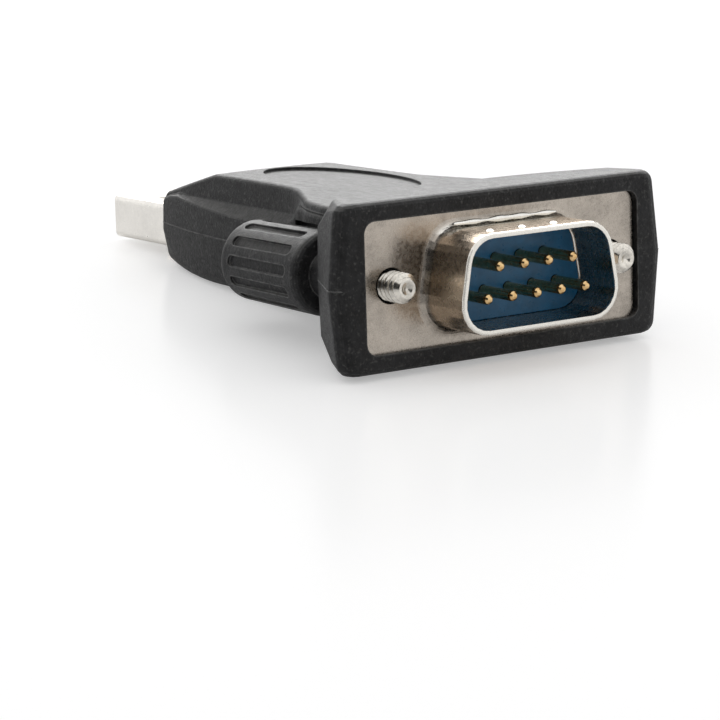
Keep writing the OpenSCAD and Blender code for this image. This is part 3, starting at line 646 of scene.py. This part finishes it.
def threaded_screw(side):
    """A screw with a helical groove, in place of the plain one."""
    low, high = span("screw_" + side)
    y, z = (low[1] + high[1]) / 2, (low[2] + high[2]) / 2
    tip, rear, crest = low[0], high[0], (high[2] - low[2]) / 2
    core = crest - THREAD_DEPTH
    angles = around(72)
    rows = [[(tip + HOLLOW_DEPTH, y, z)] * len(angles)]
    for depth, radius in HOLLOW_PROFILE:
        rows.append([(tip + depth, y + radius * math.cos(a), z + radius * math.sin(a)) for a in angles])
    for x in np.arange(tip, THREAD_END + FADE_LENGTH / 2, THREAD_PITCH / RINGS_PER_TURN):
        turn = ((x - tip) / THREAD_PITCH - angles / (2 * math.pi)) % 1.0
        height = np.clip((CREST_SHARE / 2 + FLANK_SHARE - np.abs(turn - 0.5)) / FLANK_SHARE, 0, 1)
        fade = min(max((THREAD_END - x) / FADE_LENGTH, 0), 1)
        radius = core + (crest - core) * height * fade + (SHANK_RADIUS - core) * (1 - fade)
        radius = np.minimum(radius, crest - TIP_INSET + (x - tip))
        rows.append([(x, y + q * math.cos(a), z + q * math.sin(a)) for q, a in zip(radius, angles)])
    for x in (THREAD_END + FADE_LENGTH, rear):
        rows.append([(x, y + SHANK_RADIUS * math.cos(a), z + SHANK_RADIUS * math.sin(a)) for a in angles])
    rows.append([(rear, y, z)] * len(angles))
    screw = piece("threaded_screw_" + side, rows, "thumbscrew_" + side)
    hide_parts("screw_" + side)
    dress(screw, screw_finish, 50)
    return screw


for side in ("left", "right"):
    made = threaded_screw(side)
    print(made.name, len(made.data.polygons), "faces")

# %% [markdown]
# ## Grounding dimples
#
# The drawn shell has a row of small bumps pressed out of its top, which touch the mating shell and
# catch the light. Each is a low dome of rings that shrink towards its top. Its foot lies just under the
# sheet, so it runs into it without a seam.

# %% Dimples
DIMPLE_X = -4.3
DIMPLE_SPOTS = (4.6, 1.0, -2.6)
DIMPLE_RADIUS = 0.45
DIMPLE_RISE = 0.20
DIMPLE_SINK = 0.03
DIMPLE_FOOT = 0.05
DIMPLE_POINTS = 24


def dimple(name, x, y, z):
    """A low dome whose foot lies just under a flat top."""
    rows = [[(x, y, z - DIMPLE_FOOT)] * DIMPLE_POINTS]
    for share in np.linspace(1, 0, 7):
        radius = DIMPLE_RADIUS * share
        height = DIMPLE_RISE * math.cos(share * math.pi / 2) ** 0.8 - DIMPLE_SINK
        rows.append([(x + radius * math.cos(a), y + radius * math.sin(a), z + height)
                     for a in around(DIMPLE_POINTS)])
    return piece(name, rows, "adapter")


shell_points = vertices_mm("plug_shell")
drawn = shell_points[(shell_points[:, 0] < -2) & (np.abs(shell_points[:, 1]) < 10)]
shell_top = drawn[:, 2].max()
for i, y in enumerate(DIMPLE_SPOTS):
    dress(dimple(f"shell_dimple_{i + 1}", DIMPLE_X, y, shell_top), painted_highlight_nickel_finish, 60)
print(len(DIMPLE_SPOTS), "dimples on a top at z", round(shell_top, 2), "mm")

# %% [markdown]
# ## The fold along the flare
#
# Where the sheet is drawn hardest, along the flare above the D, it has thrown up an uneven fold, which
# shows as a broken bright line. It is a tube half sunk in the flare. Two waves of different lengths are
# multiplied, so that it swells and shrinks without an even beat, and it thins out at both ends.

# %% Fold
FLARE_RADIUS = 0.8
FOLD_RADIUS = 0.46
FOLD_FLATNESS = 0.8
FOLD_FROM, FOLD_TO = 5.9, -6.0
FOLD_HALF_LENGTH = 6.0
FOLD_FORWARD = 0.34
FOLD_UP = 0.14

arc_depth = FLARE_RADIUS * (1 - math.sqrt(0.5))
fold_x = -arc_depth - FOLD_FORWARD
fold_z = shell_top + arc_depth + FOLD_UP
rows = []
for y in np.linspace(FOLD_FROM, FOLD_TO, 80):
    swell = 0.68 + 0.32 * math.sin(1.7 * y + 0.8) * math.sin(0.63 * y + 0.4)
    end = math.sqrt(max(1 - (y / FOLD_HALF_LENGTH) ** 6, 0.0))
    size = FOLD_RADIUS * swell * end
    rows.append([(fold_x + size * math.cos(a), y, fold_z + FOLD_FLATNESS * size * math.sin(a))
                 for a in around(16)])
dress(piece("flare_fold", rows, "adapter"), painted_highlight_nickel_finish, 60)
print("a fold of up to", FOLD_RADIUS, "mm along the flare")

# %% [markdown]
# ## The shell's inner corner
#
# Beside the insulator the inner corner of the shell stays open, and its radius shows as one bright line.
# A slim rounded bead along the insulator's own outline gives it, so it follows the D's slant. Only the
# upper part of the side that the photograph shows has it.

# %% Corner line
CORNER_RADIUS = 0.16
CORNER_END_RADIUS = 0.02
CORNER_INSET = 0.03
CORNER_SIDE = -6.2
CORNER_LOWEST = -2.2

face_x = span("insulator_front")[0][0]
outline = {(round(y, 3), round(z, 3)) for x, y, z in vertices_mm("insulator_front") if x < face_x + 0.01}
upper = sorted((p for p in outline if p[0] < CORNER_SIDE and p[1] > CORNER_LOWEST), key=lambda p: -p[1])
rows = []
for i, (y, z) in enumerate(upper):
    size = CORNER_RADIUS if 0 < i < len(upper) - 1 else CORNER_END_RADIUS
    row = []
    for angle in around(12):
        x = face_x + CORNER_INSET - size * max(math.sin(angle), -0.4)
        row.append((x, y - CORNER_INSET + size * max(math.cos(angle), -0.6), z))
    rows.append(row)
dress(piece("shell_corner", rows, "adapter"), painted_highlight_nickel_finish, 60)
print("corner line through", len(upper), "points")

# %% [markdown]
# ## Insulator, tongue and pins
#
# The insulator is a glossy blue moulding with a slightly uneven face. The tongue is a milky white
# plastic. The pins are gold over nickel: a warm metal with a thin haze. All three get their colour and
# their roughness from noise, since an even value looks like paint.

# %% Plastic and gold finishes
blue = Finish("blue_insulator")
blue_tone = ramp(blue, noise(blue, 1.4, 3.0), [(0.3, (0.006, 0.10, 0.22)), (0.7, (0.012, 0.15, 0.33))])
blue.set(colour=blue_tone, rough=ramp(blue, noise(blue, 0.5), [(0.3, 0.26), (0.7, 0.40)]),
         normal=bump(blue, noise(blue, 0.9, 2.0), 0.012, soft_edges(blue, 0.1)))

white = Finish("white_tongue")
white_tone = ramp(white, noise(white, 2.0), [(0.3, (0.74, 0.73, 0.70)), (0.7, (0.82, 0.81, 0.79))])
white.set(colour=white_tone, rough=ramp(white, noise(white, 0.6), [(0.3, 0.34), (0.7, 0.46)]),
          normal=bump(white, noise(white, 0.4), 0.004, soft_edges(white, 0.08)))

gold = Finish("gold_plate")
gold_tone = ramp(gold, noise(gold, 0.5), [(0.3, (0.60, 0.36, 0.14)), (0.7, (0.88, 0.64, 0.34))])
gold.set(colour=gold_tone, metal=1.0, rough=ramp(gold, noise(gold, 0.3), [(0.3, 0.16), (0.7, 0.28)]),
         normal=bump(gold, noise(gold, 0.3), 0.003))

for name in ("insulator_front", "insulator_rear"):
    dress(name, blue.material)
dress("usb_tongue", white.material)
for i in range(1, 10):
    dress(f"pin_{i}", gold.material)
for i in range(1, 5):
    dress(f"usb_contact_{i}", gold.material)
print("blue, white and gold set")

# %% [markdown]
# ## What the hood hides
#
# The board and its parts are cast in and never show, but they still get a finish of their own, so that
# an opened or cut model looks right. The traces under the green mask are a stretched noise with a hard
# step, which also gives them their slight relief.

# %% Board finishes
mask = Finish("solder_mask")
traces = noise(mask, 0.9, 1.0, stretch=(0.3, 1, 1))
mask_tone = ramp(mask, traces, [(0.48, (0.01, 0.12, 0.05)), (0.52, (0.02, 0.2, 0.08))])
mask.set(colour=mask_tone, rough=ramp(mask, noise(mask, 1.0), [(0.3, 0.3), (0.7, 0.4)]),
         normal=bump(mask, traces, 0.02))


def plain_mineral(name, dark, pale, rough):
    """A small moulded or fired body with a fine, uneven surface."""
    f = Finish(name)
    tone = ramp(f, noise(f, 0.3), [(0.3, dark), (0.7, pale)])
    return f.set(colour=tone, rough=ramp(f, noise(f, 0.5), [(0.3, rough), (0.7, rough + 0.1)]),
                 normal=bump(f, noise(f, 0.08), 0.01)).material


chip_finish = plain_mineral("chip_body", (0.022, 0.022, 0.025), (0.034, 0.034, 0.038), 0.55)
ceramic_finish = plain_mineral("ceramic", (0.42, 0.30, 0.18), (0.55, 0.41, 0.26), 0.5)
resistor_finish = plain_mineral("resistor_body", (0.02, 0.02, 0.02), (0.05, 0.05, 0.055), 0.45)
dress("board", mask.material)
for name in ("bridge_chip", "line_chip"):
    dress(name, chip_finish)
for i in range(1, 6):
    dress(f"capacitor_{i}", ceramic_finish)
for i in range(1, 3):
    dress(f"resistor_{i}", resistor_finish)
print("board and its parts dressed")

# %% [markdown]
# ## White that lights nothing
#
# The photograph was taken on a white sheet before a white wall, and a white sheet in a real studio is
# lit until it is almost white in the picture. More light would bleach the adapter. Cycles knows for each
# ray where it comes from, so a surface or the world can be brighter for the camera's own rays and for
# those of a reflection than for the light that falls on the adapter. This helper tells them apart.

# %% What the camera and the reflections see


def seen_directly(tree, reflected=1.0):
    """1 for rays from the camera, a share for those of a reflection or a clear material, else 0."""
    path = tree.nodes.new("ShaderNodeLightPath")
    value = path.outputs["Is Camera Ray"]
    for name in ("Is Glossy Ray", "Is Transmission Ray"):
        weaker = tree.nodes.new("ShaderNodeMath")
        weaker.operation = "MULTIPLY"
        weaker.inputs[1].default_value = reflected
        tree.links.new(path.outputs[name], weaker.inputs[0])
        either = tree.nodes.new("ShaderNodeMath")
        either.operation = "MAXIMUM"
        tree.links.new(value, either.inputs[0])
        tree.links.new(weaker.outputs["Value"], either.inputs[1])
        value = either.outputs["Value"]
    return value


# %% [markdown]
# ## The table
#
# The sheet is one large disc, tilted as found above, with a slight gloss. Part of its white is an
# emission that is added for the camera and, weaker, for reflections. The rest is a plain surface, which
# keeps the adapter's shadow.

# %% Table
TABLE_GLOW = 0.36
GLOW_IN_REFLECTIONS = 0.35
TABLE_RADIUS = 3.0

table_finish = Finish("white_table")
table_finish.set(colour=(0.95, 0.95, 0.95), rough=0.22, specular=0.08)
glow = table_finish.add("ShaderNodeEmission")
seen = seen_directly(table_finish.tree, GLOW_IN_REFLECTIONS)
table_finish.link(maths(table_finish, "MULTIPLY", seen, TABLE_GLOW), glow.inputs["Strength"])
both = table_finish.add("ShaderNodeAddShader")
table_finish.link(table_finish.shader.outputs["BSDF"], both.inputs[0])
table_finish.link(glow.outputs["Emission"], both.inputs[1])
table_finish.link(both.outputs["Shader"], table_finish.tree.nodes["Material Output"].inputs["Surface"])

table_mesh = bpy.data.meshes.new("table")
builder = bmesh.new()
bmesh.ops.create_circle(builder, cap_ends=True, segments=96, radius=TABLE_RADIUS)
builder.to_mesh(table_mesh)
builder.free()
table_mesh.materials.append(table_finish.material)
table = add_thing("table", table_mesh)
table.matrix_world = Matrix.Translation(table_point) @ Matrix.Rotation(-tilt, 4, "Y")
print("table normal", [round(v, 4) for v in table_normal])

# %% [markdown]
# ## The world
#
# The world stands for the white room. The camera and the reflections see it white, and its light on the
# adapter is softer, so that black stays black.

# %% World
WORLD_LEVEL = 0.65

world = bpy.data.worlds.new("studio")
bpy.context.scene.world = world
world.use_nodes = True
tree = world.node_tree
background = tree.nodes["Background"]
level = tree.nodes.new("ShaderNodeMapRange")
level.inputs["To Min"].default_value = WORLD_LEVEL
level.inputs["To Max"].default_value = 1.0
tree.links.new(seen_directly(tree), level.inputs["Value"])
background.inputs["Color"].default_value = (1, 1, 1, 1)
tree.links.new(level.outputs["Result"], background.inputs["Strength"])
print("world lights at", WORLD_LEVEL)

# %% [markdown]
# ## Lamp and card
#
# Two things make the look of this picture. The tops shine grey while the front faces stay black, which
# takes a broad lamp behind and above the adapter, so that the flat tops mirror it towards the viewer.
# Its shadow would fall forward over the table, where the photograph has none, so light linking keeps
# the lamp off the table. And the front faces see a dark card behind the camera, as photographers use to
# keep black things black. Only reflections see the card, so it takes no light from the adapter.

# %% Lamp and card
AIM_AT = (0.025, 0, 0)
LAMP_POWER = 4.9


def aim(thing, place, target, front):
    """Stand a thing at a place, with its front towards a target."""
    thing.location = place
    thing.rotation_mode = "QUATERNION"
    thing.rotation_quaternion = (Vector(target) - Vector(place)).to_track_quat(front, "Y")


def softbox(name, place, target, size, power):
    """A rectangular area lamp that looks at a point."""
    data = bpy.data.lights.new(name, "AREA")
    data.shape = "RECTANGLE"
    data.size, data.size_y = size
    data.energy = power
    lamp = add_thing(name, data)
    aim(lamp, place, target, "-Z")
    return lamp


def card(name, place, target, size):
    """A dark card that faces a point; only reflections see it."""
    finish = Finish(name)
    finish.set(colour=(0.03, 0.03, 0.03), rough=1.0)
    mesh = bpy.data.meshes.new(name)
    builder = bmesh.new()
    bmesh.ops.create_grid(builder, x_segments=1, y_segments=1, size=0.5)
    builder.to_mesh(mesh)
    builder.free()
    mesh.materials.append(finish.material)
    thing = add_thing(name, mesh)
    aim(thing, place, target, "Z")
    thing.scale = (*size, 1)
    thing.visible_camera = False
    thing.visible_diffuse = False
    thing.visible_shadow = False


def spare(lamp, thing):
    """Keep a lamp's light, and so its shadows, off one thing."""
    group = bpy.data.collections.new(lamp.name + "_spares")
    group.objects.link(thing)
    group.collection_objects[0].light_linking.link_state = "EXCLUDE"
    lamp.light_linking.receiver_collection = group


back_box = softbox("back_box", (0.45, -0.35, 0.42), AIM_AT, (0.7, 0.5), LAMP_POWER)
spare(back_box, table)
card("dark_card", (-0.45, 0.55, 0.20), (0, 0, 0), (1.3, 0.6))
print("one lamp behind, one dark card in front")

# %% Colour view
scene = bpy.context.scene
scene.view_settings.view_transform = "Standard"
